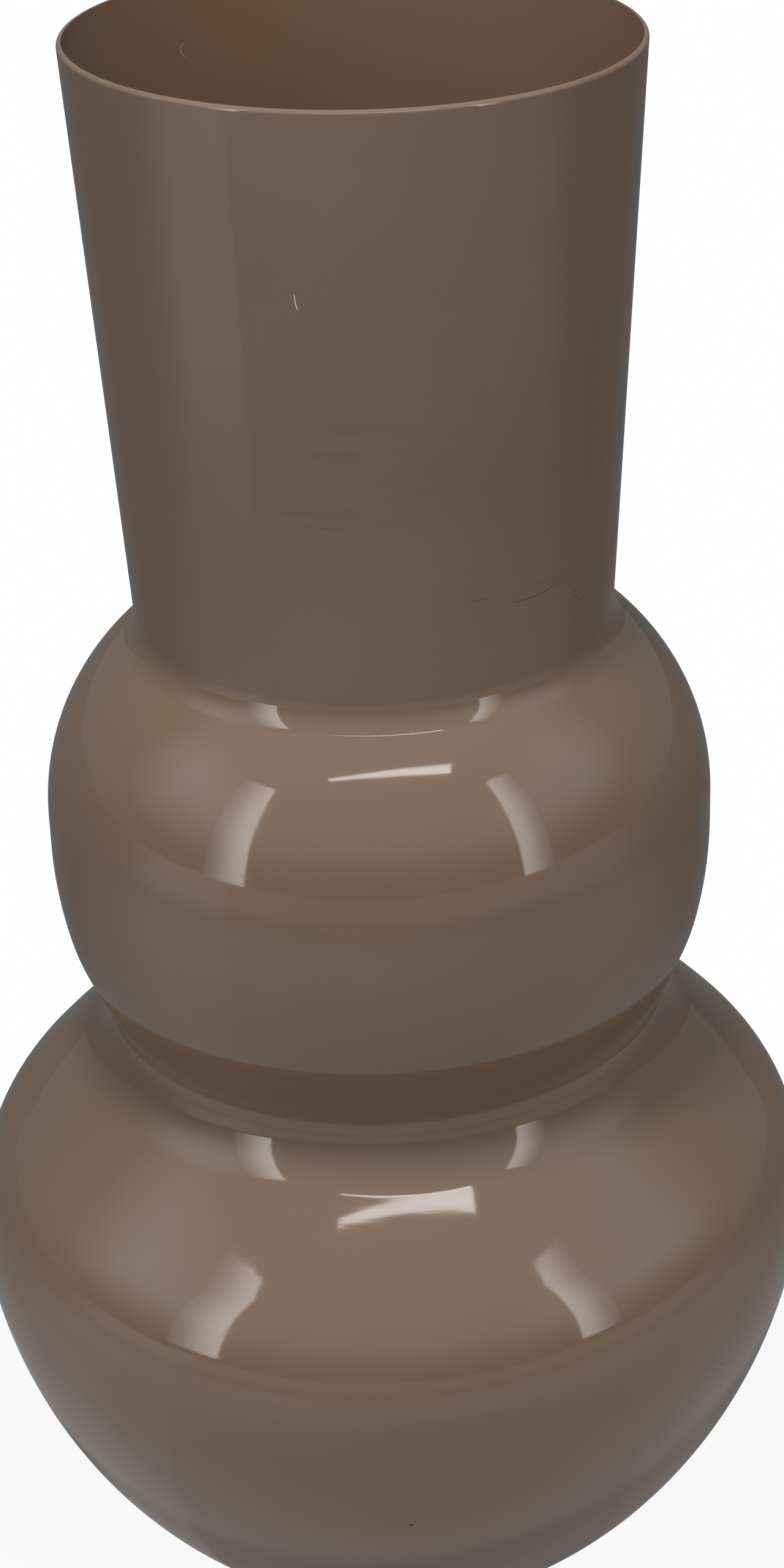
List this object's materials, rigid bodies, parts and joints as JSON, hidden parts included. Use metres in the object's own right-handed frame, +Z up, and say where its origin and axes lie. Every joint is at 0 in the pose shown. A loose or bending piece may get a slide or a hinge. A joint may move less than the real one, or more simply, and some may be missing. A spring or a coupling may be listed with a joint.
{
  "type": "double gourd vase",
  "caption": "Double gourd vase of glossy enamelled sheet metal: a wide tapered neck on a small bulb, a drawn-in waist and a larger bulb that narrows to a flat foot.",
  "frame": {"origin": "middle of the flat face that the vase rests on", "axes": "+Z up along the vase's axis; the vase is round, so +X and +Y are free"},
  "size_m": [0.2118, 0.2118, 0.4],
  "materials": {
    "enamel": "glossy taupe-brown enamel over spun sheet metal",
    "felt": "short dark felt"
  },
  "bodies": {
    "root": {"neck": "enamel", "upper_bulb_crown": "enamel", "upper_bulb_bowl": "enamel", "waist_collar": "enamel", "lower_bulb_crown": "enamel", "lower_bulb_bowl": "enamel", "base_plate": "enamel", "felt_disc": "felt"}
  },
  "joints": []
}
